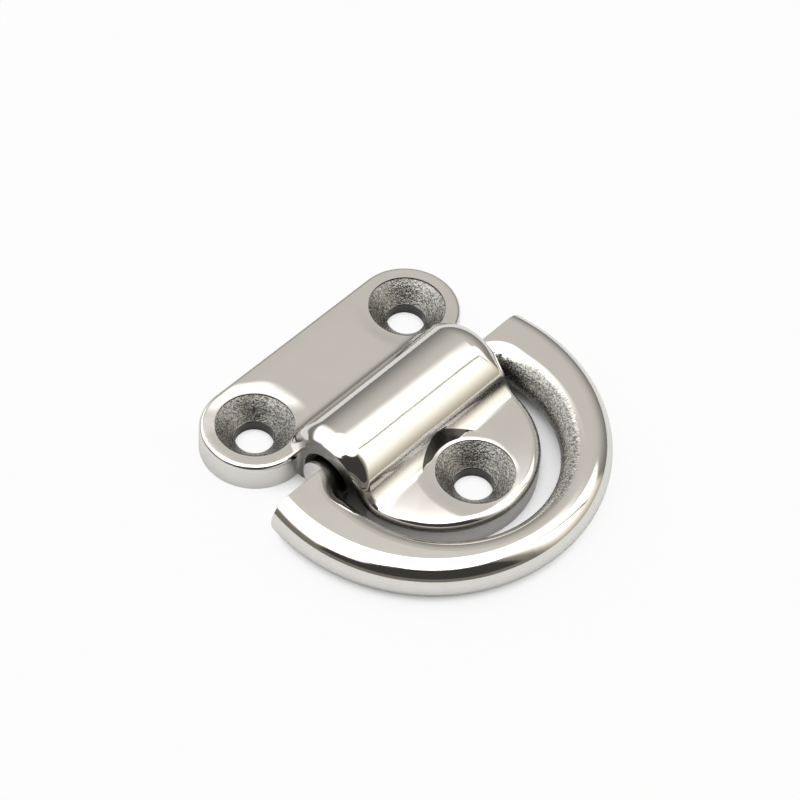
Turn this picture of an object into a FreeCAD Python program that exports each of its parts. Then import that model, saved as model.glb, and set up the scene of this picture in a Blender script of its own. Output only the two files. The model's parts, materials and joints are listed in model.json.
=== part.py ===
import FreeCAD, Part
import math
import os

import Sketcher

# Folding deck D-ring: a cast stainless pad eye for three countersunk screws, and a ring that folds flat round it.
# Millimetres. The deck is z = 0. The origin is the centre of the circle through the three screw holes.
# The hinge runs along X. The folded ring points along -Y.

SIZES = (
    ("HolePitch", 35.0, "distance from each screw hole to the other two"),
    ("HoleDiameter", 6.2, "clearance hole for an M6 screw"),
    ("SinkDiameter", 12.6, "countersink for the head of the screw"),
    ("SinkAngle", 90.0, "included angle of the countersink, degrees"),
    ("PlateThickness", 5.0, "flange round the screws"),
    ("PlateWidth", 17.4, "rear flange, front to back"),
    ("TongueReach", 8.2, "front flange past the centre of its screw"),
    ("PlateRimRound", 0.8, "soft top edge of the rear flange"),
    ("HousingLength", 33.6, "hinge housing and front flange, side to side"),
    ("HousingDiameter", 16.8, "outside of the half-round housing"),
    ("HousingRimRound", 1.6, "soft edge of the housing's ends and of the front flange"),
    ("FrontFootRound", 3.0, "cast fillet where the housing meets the front flange"),
    ("BackFootRound", 2.0, "cast fillet where the housing meets the rear flange"),
    ("DriverDiameter", 16.2, "room cut in the housing for the driver over the front screw"),
    ("HingeSetback", 14.5, "hinge line in front of the rear screws"),
    ("RingThickness", 7.2, "ring and hinge bar, top to bottom"),
    ("HingeClearance", 0.8, "play round the hinge bar, all round"),
    ("DeckClearance", 0.35, "under the folded ring"),
    ("MouthRound", 0.4, "soft edge of the channel where the bar leaves it"),
    ("ArmGap", 1.7, "between the housing's end and the ring's arm"),
    ("TongueGap", 3.5, "between the front flange and the bow of the ring"),
    ("BowWidth", 7.2, "ring at its far end"),
    ("ArmWidth", 10.8, "ring at its widest, beside the housing"),
    ("EdgeFlat", 0.15, "half of the flat left between the rounded edges of the ring"),
    ("BarReach", 1.1, "full round bar past each end of the housing"),
    ("CornerRound", 1.8, "inner corners between the bar and the arms"),
    ("CutRound", 0.12, "broken edge of the arms' cut ends"),
)

# Places that several features share, as expressions of the driving sizes
REAR_ROW_Y = "(Sizes.HolePitch / (2 * sqrt(3)))"
FRONT_HOLE_Y = "(-Sizes.HolePitch / sqrt(3))"
HINGE_Y = f"({REAR_ROW_Y} - Sizes.HingeSetback)"
HINGE_Z = "(Sizes.DeckClearance + Sizes.RingThickness / 2)"
HOUSING_RADIUS = "(Sizes.HousingDiameter / 2)"
TONGUE_RADIUS = "(Sizes.HousingLength / 2)"
TONGUE_TIP_Y = f"({FRONT_HOLE_Y} - Sizes.TongueReach)"
TONGUE_CENTRE_Y = f"({TONGUE_TIP_Y} + {TONGUE_RADIUS})"
FLANGE_LEVEL = f"(Sizes.PlateThickness - {HINGE_Z})"
BAR_RADIUS = "(Sizes.RingThickness / 2)"
CHANNEL_RADIUS = f"({BAR_RADIUS} + Sizes.HingeClearance)"
OPENING_RADIUS = f"({TONGUE_RADIUS} + Sizes.ArmGap)"
OPENING_CENTRE_Y = f"({TONGUE_TIP_Y} - Sizes.TongueGap + {OPENING_RADIUS})"
RING_RADIUS = f"({OPENING_RADIUS} + Sizes.ArmWidth)"
RING_CENTRE_Y = f"({TONGUE_TIP_Y} - Sizes.TongueGap - Sizes.BowWidth + {RING_RADIUS})"
MOUTH_WALL = f"(Sizes.HingeSetback - Sizes.PlateWidth / 2 - {CHANNEL_RADIUS})"
MOUTH_ROUND = f"min(Sizes.MouthRound; 0.9 * {MOUTH_WALL})"
RIM_LANDING = f"({REAR_ROW_Y} - Sizes.PlateWidth / 2 + 1.1 * Sizes.PlateRimRound - {HINGE_Y})"
RIM_LIMIT = f"({HOUSING_RADIUS} - sqrt({RIM_LANDING} ^ 2 + {FLANGE_LEVEL} ^ 2))"
HOUSING_RIM_ROUND = f"min(Sizes.HousingRimRound; {RIM_LIMIT})"
BAR_HALF_LENGTH = f"({TONGUE_RADIUS} + Sizes.BarReach)"
EDGE_ROUND = f"({BAR_RADIUS} - Sizes.EdgeFlat)"

# Points of a sketch's geometry, and the sketch's own origin, in the solver's numbering
POINT_NAMES = ("whole", "start", "end", "centre")
START = POINT_NAMES.index("start")
END = POINT_NAMES.index("end")
CENTRE = POINT_NAMES.index("centre")
ORIGIN = (-1, START)

# How closely a point must lie on a surface to count as on it: made exactly, and made by a fillet
TOLERANCE = 1e-4
FIT_TOLERANCE = 0.01


def build_sheet(doc):
    sheet = doc.addObject("Spreadsheet::Sheet", "Sizes")
    for row, (alias, value, note) in enumerate(SIZES, start=1):
        sheet.set(f"A{row}", str(value))
        sheet.setAlias(f"A{row}", alias)
        sheet.set(f"B{row}", note)
    doc.recompute()


def value(expression):
    return float(FreeCAD.ActiveDocument.Sizes.evalExpression(expression))


def bind(sketch, kind, *references, to):
    """Add a dimension that follows an expression of the sizes."""
    index = sketch.addConstraint(Sketcher.Constraint(kind, *references, value(to)))
    sketch.setExpression(f"Constraints[{index}]", to)


def new_body(doc, name):
    body = doc.addObject("PartDesign::Body", name)
    body.Label = name
    return body


def new_sketch(body, name, role, origin=("0", "0", "0")):
    """A sketch on an origin plane of its body, with its own origin moved along the plane's axes and normal."""
    plane = next(feature for feature in body.Origin.OriginFeatures if feature.Role == role)
    sketch = body.newObject("Sketcher::SketchObject", name)
    sketch.AttachmentSupport = [(plane, "")]
    sketch.MapMode = "FlatFace"
    for axis, expression in zip("xyz", origin):
        sketch.setExpression(f"AttachmentOffset.Base.{axis}", expression)
    return sketch


def line(sketch, start, end):
    segment = Part.LineSegment(FreeCAD.Vector(*start, 0), FreeCAD.Vector(*end, 0))
    return sketch.addGeometry(segment)


def arc(sketch, centre, radius, start_angle, end_angle):
    circle = Part.Circle(FreeCAD.Vector(*centre, 0), FreeCAD.Vector(0, 0, 1), radius)
    return sketch.addGeometry(Part.ArcOfCircle(circle, math.radians(start_angle), math.radians(end_angle)))


def join(sketch, kind, *pairs):
    """Join the end of each piece to the start of the next, either Coincident or Tangent."""
    for (first, first_point), (second, second_point) in pairs:
        sketch.addConstraint(Sketcher.Constraint(kind, first, first_point, second, second_point))


def draw_slot(sketch, half_pitch, radius):
    """An oblong with round ends, along the sketch's X axis and centred on its origin."""
    reach = value(half_pitch)
    rise = value(radius)
    right = arc(sketch, (reach, 0), rise, -90, 90)
    top = line(sketch, (reach, rise), (-reach, rise))
    left = arc(sketch, (-reach, 0), rise, 90, 270)
    bottom = line(sketch, (-reach, -rise), (reach, -rise))
    join(sketch, "Tangent", ((right, END), (top, START)), ((top, END), (left, START)),
         ((left, END), (bottom, START)), ((bottom, END), (right, START)))
    sketch.addConstraint(Sketcher.Constraint("Horizontal", top))
    sketch.addConstraint(Sketcher.Constraint("Symmetric", left, CENTRE, right, CENTRE, *ORIGIN))
    bind(sketch, "DistanceX", *ORIGIN, right, CENTRE, to=half_pitch)
    bind(sketch, "Radius", right, to=radius)


def draw_u_outline(sketch, radius, back):
    """A half circle about the sketch's origin on its -Y side, with straight sides that run to y = back."""
    reach = value(radius)
    rise = value(back)
    bow = arc(sketch, (0, 0), reach, 180, 360)
    right = line(sketch, (reach, 0), (reach, rise))
    top = line(sketch, (reach, rise), (-reach, rise))
    left = line(sketch, (-reach, rise), (-reach, 0))
    join(sketch, "Tangent", ((bow, END), (right, START)), ((left, END), (bow, START)))
    join(sketch, "Coincident", ((right, END), (top, START)), ((top, END), (left, START)),
         ((bow, CENTRE), ORIGIN))
    sketch.addConstraint(Sketcher.Constraint("Vertical", right))
    sketch.addConstraint(Sketcher.Constraint("Vertical", left))
    sketch.addConstraint(Sketcher.Constraint("Horizontal", top))
    bind(sketch, "Radius", bow, to=radius)
    bind(sketch, "DistanceY", *ORIGIN, top, START, to=back)


def draw_arch(sketch, radius, leg):
    """A half circle about the sketch's origin on its +Y side, with straight legs of the given length below it."""
    reach = value(radius)
    drop = -value(leg)
    crown = arc(sketch, (0, 0), reach, 0, 180)
    left = line(sketch, (-reach, 0), (-reach, drop))
    foot = line(sketch, (-reach, drop), (reach, drop))
    right = line(sketch, (reach, drop), (reach, 0))
    join(sketch, "Tangent", ((crown, END), (left, START)), ((right, END), (crown, START)))
    join(sketch, "Coincident", ((left, END), (foot, START)), ((foot, END), (right, START)),
         ((crown, CENTRE), ORIGIN))
    sketch.addConstraint(Sketcher.Constraint("Vertical", left))
    sketch.addConstraint(Sketcher.Constraint("Vertical", right))
    sketch.addConstraint(Sketcher.Constraint("Horizontal", foot))
    bind(sketch, "Radius", crown, to=radius)
    bind(sketch, "DistanceY", left, END, *ORIGIN, to=leg)


def draw_over_arch(sketch, radius, floor, reach, rise):
    """All that lies above a floor and outside a half-round ridge about the sketch's origin, out to a given reach."""
    ridge = value(radius)
    level = value(floor)
    foot = (ridge ** 2 - level ** 2) ** 0.5
    lean = math.degrees(math.asin(level / ridge))
    side = value(reach)
    top = value(rise)
    crown = arc(sketch, (0, 0), ridge, lean, 180 - lean)
    left_floor = line(sketch, (-foot, level), (-side, level))
    left_wall = line(sketch, (-side, level), (-side, top))
    ceiling = line(sketch, (-side, top), (side, top))
    right_wall = line(sketch, (side, top), (side, level))
    right_floor = line(sketch, (side, level), (foot, level))
    join(sketch, "Coincident", ((crown, END), (left_floor, START)), ((left_floor, END), (left_wall, START)),
         ((left_wall, END), (ceiling, START)), ((ceiling, END), (right_wall, START)),
         ((right_wall, END), (right_floor, START)), ((right_floor, END), (crown, START)),
         ((crown, CENTRE), ORIGIN))
    for flat in (left_floor, ceiling, right_floor):
        sketch.addConstraint(Sketcher.Constraint("Horizontal", flat))
    for upright in (left_wall, right_wall):
        sketch.addConstraint(Sketcher.Constraint("Vertical", upright))
    bind(sketch, "Radius", crown, to=radius)
    bind(sketch, "DistanceY", *ORIGIN, crown, START, to=floor)
    bind(sketch, "DistanceY", *ORIGIN, crown, END, to=floor)
    bind(sketch, "DistanceX", left_wall, START, *ORIGIN, to=reach)
    bind(sketch, "DistanceX", *ORIGIN, right_wall, START, to=reach)
    bind(sketch, "DistanceY", *ORIGIN, ceiling, START, to=rise)


def draw_foot_bead(sketch, radius, floor, bead):
    """The section of a concave bead between a floor and the ridge above, on the sketch's +X side."""
    reach = f"sqrt(({radius} + {bead})^2 - ({floor} + {bead})^2)"
    rise = f"({floor} + {bead})"
    share = f"({radius} / ({radius} + {bead}))"
    middle = (value(reach), value(rise))
    upper = (middle[0] * value(share), middle[1] * value(share))
    level = value(floor)
    lean = math.degrees(math.atan2(middle[1], middle[0]))
    curve = arc(sketch, middle, value(bead), 180 + lean, 270)
    bottom = line(sketch, (middle[0], level), (upper[0], level))
    inner = line(sketch, (upper[0], level), upper)
    join(sketch, "Coincident", ((curve, END), (bottom, START)), ((bottom, END), (inner, START)),
         ((inner, END), (curve, START)))
    sketch.addConstraint(Sketcher.Constraint("Horizontal", bottom))
    sketch.addConstraint(Sketcher.Constraint("Vertical", inner))
    bind(sketch, "Radius", curve, to=bead)
    bind(sketch, "DistanceX", *ORIGIN, curve, CENTRE, to=reach)
    bind(sketch, "DistanceY", *ORIGIN, curve, CENTRE, to=rise)
    bind(sketch, "DistanceX", *ORIGIN, curve, END, to=reach)
    bind(sketch, "DistanceX", *ORIGIN, inner, START, to=f"{reach} * {share}")


def draw_ring_outline(sketch, radius, cut, bar_back, bar_half_length):
    """A circle about the sketch's origin cut off at y = cut, with the bar standing out behind the cut."""
    outer = value(radius)
    level = value(cut)
    back = value(bar_back)
    half = value(bar_half_length)
    lean = math.degrees(math.asin(level / outer))
    end = (outer ** 2 - level ** 2) ** 0.5
    bow = arc(sketch, (0, 0), outer, 180 - lean, 360 + lean)
    right_cut = line(sketch, (end, level), (half, level))
    right_step = line(sketch, (half, level), (half, back))
    rear = line(sketch, (half, back), (-half, back))
    left_step = line(sketch, (-half, back), (-half, level))
    left_cut = line(sketch, (-half, level), (-end, level))
    join(sketch, "Coincident", ((bow, END), (right_cut, START)), ((right_cut, END), (right_step, START)),
         ((right_step, END), (rear, START)), ((rear, END), (left_step, START)),
         ((left_step, END), (left_cut, START)), ((left_cut, END), (bow, START)), ((bow, CENTRE), ORIGIN))
    for flat in (right_cut, rear, left_cut):
        sketch.addConstraint(Sketcher.Constraint("Horizontal", flat))
    for upright in (right_step, left_step):
        sketch.addConstraint(Sketcher.Constraint("Vertical", upright))
    bind(sketch, "Radius", bow, to=radius)
    bind(sketch, "DistanceY", *ORIGIN, bow, END, to=cut)
    bind(sketch, "DistanceY", *ORIGIN, bow, START, to=cut)
    bind(sketch, "DistanceY", *ORIGIN, rear, START, to=bar_back)
    bind(sketch, "DistanceX", *ORIGIN, right_step, START, to=bar_half_length)
    bind(sketch, "DistanceX", left_step, START, *ORIGIN, to=bar_half_length)


def draw_circle(sketch, centre, diameter):
    """A circle whose centre is given by two expressions."""
    middle = FreeCAD.Vector(value(centre[0]), value(centre[1]), 0)
    circle = sketch.addGeometry(Part.Circle(middle, FreeCAD.Vector(0, 0, 1), value(diameter) / 2))
    bind(sketch, "Diameter", circle, to=diameter)
    bind(sketch, "DistanceX", *ORIGIN, circle, CENTRE, to=centre[0])
    bind(sketch, "DistanceY", *ORIGIN, circle, CENTRE, to=centre[1])


def pad(body, sketch, length, symmetric=False):
    feature = body.newObject("PartDesign::Pad", f"{sketch.Name}Pad")
    feature.Profile = sketch
    feature.SideType = "Symmetric" if symmetric else "One side"
    feature.setExpression("Length", length)
    sketch.Visibility = False
    body.Document.recompute()
    return feature


def pocket(body, sketch, length=None, symmetric=False, upward=False, may_miss=False):
    """Cut the sketch's outline out of the body, through all of it where no length is given.

    A cut that may miss is only room to be kept free, so it need not meet any metal.
    """
    before = body.Shape.Volume
    feature = body.newObject("PartDesign::Pocket", f"{sketch.Name}Pocket")
    feature.Profile = sketch
    feature.SideType = "Symmetric" if symmetric else "One side"
    feature.Reversed = upward
    if length is None:
        feature.Type = "ThroughAll"
    else:
        feature.setExpression("Length", length)
    sketch.Visibility = False
    body.Document.recompute()
    if not may_miss and body.Shape.Volume > before - TOLERANCE:
        raise RuntimeError(f"{feature.Name} cuts nothing")
    return feature


def edges_where(feature, test):
    """Names of the feature's edges that pass a test of their middle point and their direction there."""
    names = []
    for number, edge in enumerate(feature.Shape.Edges, start=1):
        middle = (edge.FirstParameter + edge.LastParameter) / 2
        if test(edge.valueAt(middle), edge.tangentAt(middle)):
            names.append(f"Edge{number}")
    return names


def fillet(body, name, base, edge_names, radius):
    feature = body.newObject("PartDesign::Fillet", name)
    feature.Base = (base, edge_names)
    feature.setExpression("Radius", radius)
    body.Document.recompute()
    return feature


def near(first, second, tolerance=TOLERANCE):
    return abs(first - second) < tolerance


def on_tongue_wall(point):
    """True on the upright side of the housing and the front flange: a half circle with straight sides behind it."""
    forward = min(point.y - value(TONGUE_CENTRE_Y), 0)
    return near(math.hypot(point.x, forward), value(TONGUE_RADIUS), FIT_TOLERANCE)


def build_flanges_and_housing(body):
    """The front flange, the housing over it and the rear flange, with their cast fillets and soft edges."""
    plan = new_sketch(body, "HousingPlan", "XY_Plane", ("0", TONGUE_CENTRE_Y, "0"))
    draw_u_outline(plan, TONGUE_RADIUS, f"({REAR_ROW_Y} - {TONGUE_CENTRE_Y})")
    pad(body, plan, f"{HINGE_Z} + {HOUSING_RADIUS}")

    side = new_sketch(body, "HousingSide", "YZ_Plane", (HINGE_Y, HINGE_Z, "0"))
    draw_over_arch(side, HOUSING_RADIUS, FLANGE_LEVEL, "2 * Sizes.HousingDiameter", "Sizes.HousingDiameter")
    pocket(body, side, symmetric=True)

    slot = new_sketch(body, "RearFlange", "XY_Plane", ("0", REAR_ROW_Y, "0"))
    draw_slot(slot, "Sizes.HolePitch / 2", "Sizes.PlateWidth / 2")
    flange = pad(body, slot, "Sizes.PlateThickness")

    top = value("Sizes.PlateThickness")
    hinge_y = value(HINGE_Y)
    tongue_centre_y = value(TONGUE_CENTRE_Y)

    def front_foot(middle, direction):
        return near(middle.z, top) and near(middle.x, 0) and tongue_centre_y - top < middle.y < hinge_y

    def tongue_rim(middle, direction):
        upright = abs(direction.z) > 0.99
        behind = near(middle.z, top) and middle.y > hinge_y
        return middle.z > TOLERANCE and not upright and not behind and on_tongue_wall(middle)

    def rear_rim(middle, direction):
        beside = abs(middle.x) > value(TONGUE_RADIUS) + TOLERANCE
        return near(middle.z, top) and (beside or middle.y > value(REAR_ROW_Y))

    foot = fillet(body, "FrontFoot", flange, edges_where(flange, front_foot), "Sizes.FrontFootRound")
    rim = fillet(body, "TongueRim", foot, edges_where(foot, tongue_rim), HOUSING_RIM_ROUND)
    fillet(body, "RearRim", rim, edges_where(rim, rear_rim), "Sizes.PlateRimRound")

    bead = new_sketch(body, "BackFoot", "YZ_Plane", (HINGE_Y, HINGE_Z, "0"))
    draw_foot_bead(bead, HOUSING_RADIUS, FLANGE_LEVEL, "Sizes.BackFootRound")
    pad(body, bead, f"Sizes.HousingLength - 2 * {HOUSING_RIM_ROUND}", symmetric=True)


def build_channel(body):
    """The channel for the hinge bar, open to the deck, with a soft edge at each mouth."""
    channel = new_sketch(body, "Channel", "YZ_Plane", (HINGE_Y, HINGE_Z, "0"))
    draw_arch(channel, CHANNEL_RADIUS, HINGE_Z)
    cut = pocket(body, channel, symmetric=True)

    def mouth(middle, direction):
        across = math.hypot(middle.y - value(HINGE_Y), max(middle.z - value(HINGE_Z), 0))
        on_end = near(abs(middle.x), value(TONGUE_RADIUS))
        return on_end and middle.z > TOLERANCE and near(across, value(CHANNEL_RADIUS), FIT_TOLERANCE)

    fillet(body, "ChannelMouths", cut, edges_where(cut, mouth), MOUTH_ROUND)


def build_screw_holes(body):
    """Three countersunk holes, and the room above them that the screw heads and the driver need."""
    centres = (("-Sizes.HolePitch / 2", REAR_ROW_Y), ("Sizes.HolePitch / 2", REAR_ROW_Y), ("0", FRONT_HOLE_Y))
    room = new_sketch(body, "HeadRoom", "XY_Plane", ("0", "0", "Sizes.PlateThickness"))
    for centre, diameter in zip(centres, ("Sizes.SinkDiameter", "Sizes.SinkDiameter", "Sizes.DriverDiameter")):
        draw_circle(room, centre, diameter)
    pocket(body, room, f"{HINGE_Z} + {HOUSING_RADIUS}", upward=True, may_miss=True)

    rings = new_sketch(body, "ScrewHoles", "XY_Plane", ("0", "0", "Sizes.PlateThickness"))
    for centre in centres:
        draw_circle(rings, centre, "Sizes.HoleDiameter")
    body.Document.recompute()
    before = body.Shape.Volume
    hole = body.newObject("PartDesign::Hole", "CountersunkHoles")
    hole.Profile = rings
    hole.DepthType = "ThroughAll"
    hole.ThreadType = "None"
    hole.HoleCutType = "Countersink"
    hole.HoleCutCustomValues = True
    hole.setExpression("Diameter", "Sizes.HoleDiameter")
    hole.setExpression("HoleCutDiameter", "Sizes.SinkDiameter")
    hole.setExpression("HoleCutCountersinkAngle", "Sizes.SinkAngle")
    rings.Visibility = False
    body.Document.recompute()
    if body.Shape.Volume > before - TOLERANCE:
        raise RuntimeError("the screw holes cut nothing")


def build_base(doc):
    body = new_body(doc, "base")
    build_flanges_and_housing(body)
    build_channel(body)
    build_screw_holes(body)


def build_ring(doc):
    """The D-ring and its cross bar in one piece: round along the bow and the bar, broad and flat-topped at the arms."""
    body = new_body(doc, "d_ring")
    outline = new_sketch(body, "RingOutline", "XY_Plane", ("0", RING_CENTRE_Y, HINGE_Z))
    draw_ring_outline(outline, RING_RADIUS, f"({HINGE_Y} - {RING_CENTRE_Y})",
                      f"({HINGE_Y} + {BAR_RADIUS} - {RING_CENTRE_Y})", BAR_HALF_LENGTH)
    pad(body, outline, "Sizes.RingThickness", symmetric=True)

    opening = new_sketch(body, "RingOpening", "XY_Plane", ("0", OPENING_CENTRE_Y, HINGE_Z))
    draw_u_outline(opening, OPENING_RADIUS, f"({HINGE_Y} - {BAR_RADIUS} - {OPENING_CENTRE_Y})")
    cut = pocket(body, opening, symmetric=True)

    opening_radius = value(OPENING_RADIUS)
    opening_centre_y = value(OPENING_CENTRE_Y)
    hinge_y = value(HINGE_Y)
    middle_z = value(HINGE_Z)
    half_bar = value(BAR_RADIUS)

    def opening_corner(middle, direction):
        at_bar = near(middle.y, hinge_y - half_bar)
        return at_bar and near(abs(middle.x), opening_radius) and abs(direction.z) > 0.99

    corners = fillet(body, "OpeningCorners", cut, edges_where(cut, opening_corner), "Sizes.CornerRound")

    def long_edge(middle, direction):
        on_face = near(abs(middle.z - middle_z), half_bar)
        on_cut = near(middle.y, hinge_y)
        on_step = near(abs(middle.x), value(BAR_HALF_LENGTH)) and middle.y > hinge_y
        return on_face and not on_cut and not on_step

    rounds = fillet(body, "RingRounds", corners, edges_where(corners, long_edge), EDGE_ROUND)

    def cut_edge(middle, direction):
        return near(middle.y, hinge_y) and abs(middle.x) > value(BAR_HALF_LENGTH) + TOLERANCE

    fillet(body, "CutEnds", rounds, edges_where(rounds, cut_edge), "Sizes.CutRound")


def check(doc, bodies):
    for thing in doc.Objects:
        if {"Invalid", "Error"} & set(thing.State):
            raise RuntimeError(f"{thing.Label} did not recompute")
    for body in bodies:
        if body.Shape.isNull() or not body.Shape.isValid() or len(body.Shape.Solids) != 1:
            raise RuntimeError(f"{body.Label} is not one sound solid")


def main():
    doc = FreeCAD.newDocument("FoldingDeckRing")
    build_sheet(doc)
    build_base(doc)
    build_ring(doc)
    doc.recompute()
    bodies = [thing for thing in doc.Objects if thing.isDerivedFrom("PartDesign::Body")]
    check(doc, bodies)
    os.makedirs("parts", exist_ok=True)
    for body in bodies:
        body.Shape.exportStep(f"parts/{body.Label}.step")


main()
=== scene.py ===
import json
import math
from collections import namedtuple

import bpy
from bpy.props import FloatProperty, FloatVectorProperty, PointerProperty
from mathutils import Matrix, Vector


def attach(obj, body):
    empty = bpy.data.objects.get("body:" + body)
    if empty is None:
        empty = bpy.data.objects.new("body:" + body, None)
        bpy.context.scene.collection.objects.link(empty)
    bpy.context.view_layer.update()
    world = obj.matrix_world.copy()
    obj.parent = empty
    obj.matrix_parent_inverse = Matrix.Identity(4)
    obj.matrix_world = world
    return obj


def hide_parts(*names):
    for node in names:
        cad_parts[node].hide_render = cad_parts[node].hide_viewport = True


bl_info = {
    "name": "Folding deck ring finish",
    "version": (1, 0, 0),
    "blender": (4, 5, 0),
    "location": "View3D > Sidebar > Deck ring",
    "description": "Polished and as-cast steel for a folding deck ring, with a plain studio to show it in",
    "category": "Object",
}

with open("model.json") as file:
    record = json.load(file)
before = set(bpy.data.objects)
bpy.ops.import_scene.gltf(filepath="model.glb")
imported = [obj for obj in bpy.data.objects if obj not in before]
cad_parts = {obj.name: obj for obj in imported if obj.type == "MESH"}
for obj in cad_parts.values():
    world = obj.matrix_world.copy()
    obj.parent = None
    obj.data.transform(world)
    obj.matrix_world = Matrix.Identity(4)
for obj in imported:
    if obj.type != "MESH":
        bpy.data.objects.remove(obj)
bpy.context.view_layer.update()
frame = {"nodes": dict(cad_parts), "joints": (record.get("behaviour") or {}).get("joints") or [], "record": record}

MILLIMETRE = 0.001
TO_MILLIMETRES = 1000.0


# Frame sizes that the finishes follow

# Bearings of the screw holes round the middle of their circle in degrees: the rear pair, then the front one
HOLE_BEARINGS = (150.0, 30.0, 270.0)
FRONT_HOLE = 2


def millimetres(length):
    """A length in millimetres that is given in metres."""
    return length * TO_MILLIMETRES


def screw_mount():
    """The record's bolt pattern."""
    return next(mount for mount in frame["record"]["mounts"] if mount["name"] == "deck_screws")


def screw_places():
    """The three screw holes' places in millimetres: the rear pair, then the front one."""
    radius = screw_mount()["dims"]["pcd_mm"] / 2
    return [(radius * math.cos(math.radians(angle)), radius * math.sin(math.radians(angle)))
            for angle in HOLE_BEARINGS]


def hinge_point():
    """The hinge line's point in the middle of the fitting, in millimetres."""
    return [millimetres(value) for value in frame["joints"][0]["pos_m"]]


def smooth_step(start, end, value):
    """Nought at start, one at end, with a smooth change between."""
    share = min(max((value - start) / (end - start), 0.0), 1.0)
    return share * share * (3.0 - 2.0 * share)


# Shader node helpers


def put(tree, socket, value):
    """Links an output to a socket, or sets the socket to a plain value."""
    if isinstance(value, bpy.types.NodeSocket):
        tree.links.new(value, socket)
    else:
        socket.default_value = value


def node(tree, kind, **settings):
    """A new shader node with its settings."""
    made = tree.nodes.new(kind)
    for name, value in settings.items():
        setattr(made, name, value)
    return made


def calc(tree, operation, *values):
    """A Math node on numbers or outputs."""
    made = node(tree, "ShaderNodeMath", operation=operation)
    for socket, value in zip(made.inputs, values):
        put(tree, socket, value)
    return made.outputs[0]


def product(tree, first, *others):
    """The product of some numbers or outputs."""
    for other in others:
        first = calc(tree, "MULTIPLY", first, other)
    return first


def largest(tree, first, *others):
    """The largest of some numbers or outputs."""
    for other in others:
        first = calc(tree, "MAXIMUM", first, other)
    return first


def ramp(tree, value, start, end, low=0.0, high=1.0):
    """A smooth change from low to high as a value goes from start to end."""
    made = node(tree, "ShaderNodeMapRange", interpolation_type="SMOOTHSTEP")
    put(tree, made.inputs["Value"], value)
    put(tree, made.inputs["From Min"], start)
    put(tree, made.inputs["From Max"], end)
    put(tree, made.inputs["To Min"], low)
    put(tree, made.inputs["To Max"], high)
    return made.outputs["Result"]


def above(tree, value, edge, level=0.0):
    """Nought under a level and one over it. The soft edge starts and ends so far past the level."""
    start, end = edge
    return ramp(tree, value, level + start, level + end)


def below(tree, value, edge, level=0.0):
    """One under a level and nought over it. The soft edge starts and ends so far past the level."""
    start, end = edge
    return ramp(tree, value, level + start, level + end, 1.0, 0.0)


def band(tree, value, start, end, edge):
    """One between start and end of a value and nought outside, with soft edges."""
    soft = (-edge, edge)
    return product(tree, above(tree, value, soft, start), below(tree, value, soft, end))


def mix_colour(tree, factor, first, second):
    """A mix of two colours."""
    made = node(tree, "ShaderNodeMix", data_type="RGBA")
    put(tree, made.inputs["Factor"], factor)
    put(tree, made.inputs[6], first)
    put(tree, made.inputs[7], second)
    return made.outputs[2]


def mix_number(tree, factor, first, second):
    """A mix of two numbers."""
    made = node(tree, "ShaderNodeMix", data_type="FLOAT")
    put(tree, made.inputs["Factor"], factor)
    put(tree, made.inputs[2], first)
    put(tree, made.inputs[3], second)
    return made.outputs[0]


def noise(tree, place, scale, detail=2.0, roughness=0.5):
    """Cloudy noise, at so many lumps to a millimetre."""
    made = node(tree, "ShaderNodeTexNoise")
    put(tree, made.inputs["Vector"], place)
    put(tree, made.inputs["Scale"], scale)
    put(tree, made.inputs["Detail"], detail)
    put(tree, made.inputs["Roughness"], roughness)
    return made.outputs["Fac"]


def cells(tree, place, scale):
    """The distance to the nearest grain, at so many grains to a millimetre."""
    made = node(tree, "ShaderNodeTexVoronoi")
    put(tree, made.inputs["Vector"], place)
    put(tree, made.inputs["Scale"], scale)
    return made.outputs["Distance"]


def opaque(colour):
    """A colour with full alpha."""
    return (*colour, 1.0)


# Steel

# Noise scales in lumps to a millimetre
POLISH_CLOUDS = 0.09
BUFFING_CLOUDS = 0.35
DULL_CLOUDS = 0.5
HAND_WAVES = 0.16
HAIRLINES = 6.0
SKIN_PITS = 3.0
SKIN_GRAINS = 3.4

# How strongly the noises act: the part of their range that is used, and shares of the settings
NOISE_MIDDLE = (0.3, 0.7)
PIT_EDGE = (0.35, 0.65)
BUFFED_SHARES = (0.8, 1.25)
SKIN_SHARES = (0.7, 1.2)
GRAIN_SHARE = 0.5
# Painted shade in the deepest recesses: how far their colour is darkened, and the near-black it is darkened
# towards
DEEP_SHADE_SHARE = 0.65
DEEP_SHADE_COLOUR = (0.02, 0.02, 0.019, 1.0)

# The upward part of a face's normal that still counts as a side wall, from wholly to not at all
SIDE_FACING = (0.05, 0.25)

# A steel material with its nodes and outputs, and where each of its finishes and its painted shade is, from nought
# to one
SteelNodes = namedtuple("SteelNodes", "material tree shader place split facing")
SteelMasks = namedtuple("SteelMasks", "as_cast unpolished deep satin")


def steel_material(name):
    """A new metal material with its shader, and the object's own coordinates in millimetres."""
    material = bpy.data.materials.new(name)
    material.use_nodes = True
    tree = material.node_tree
    shader = tree.nodes["Principled BSDF"]
    shader.inputs["Metallic"].default_value = 1.0
    coordinates = node(tree, "ShaderNodeTexCoord")
    scaled = node(tree, "ShaderNodeVectorMath", operation="SCALE")
    put(tree, scaled.inputs[0], coordinates.outputs["Object"])
    put(tree, scaled.inputs["Scale"], TO_MILLIMETRES)
    place = scaled.outputs["Vector"]
    facing = node(tree, "ShaderNodeSeparateXYZ")
    put(tree, facing.inputs[0], coordinates.outputs["Normal"])
    split = node(tree, "ShaderNodeSeparateXYZ")
    put(tree, split.inputs[0], place)
    return SteelNodes(material, tree, shader, place, split.outputs, facing.outputs)


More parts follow.
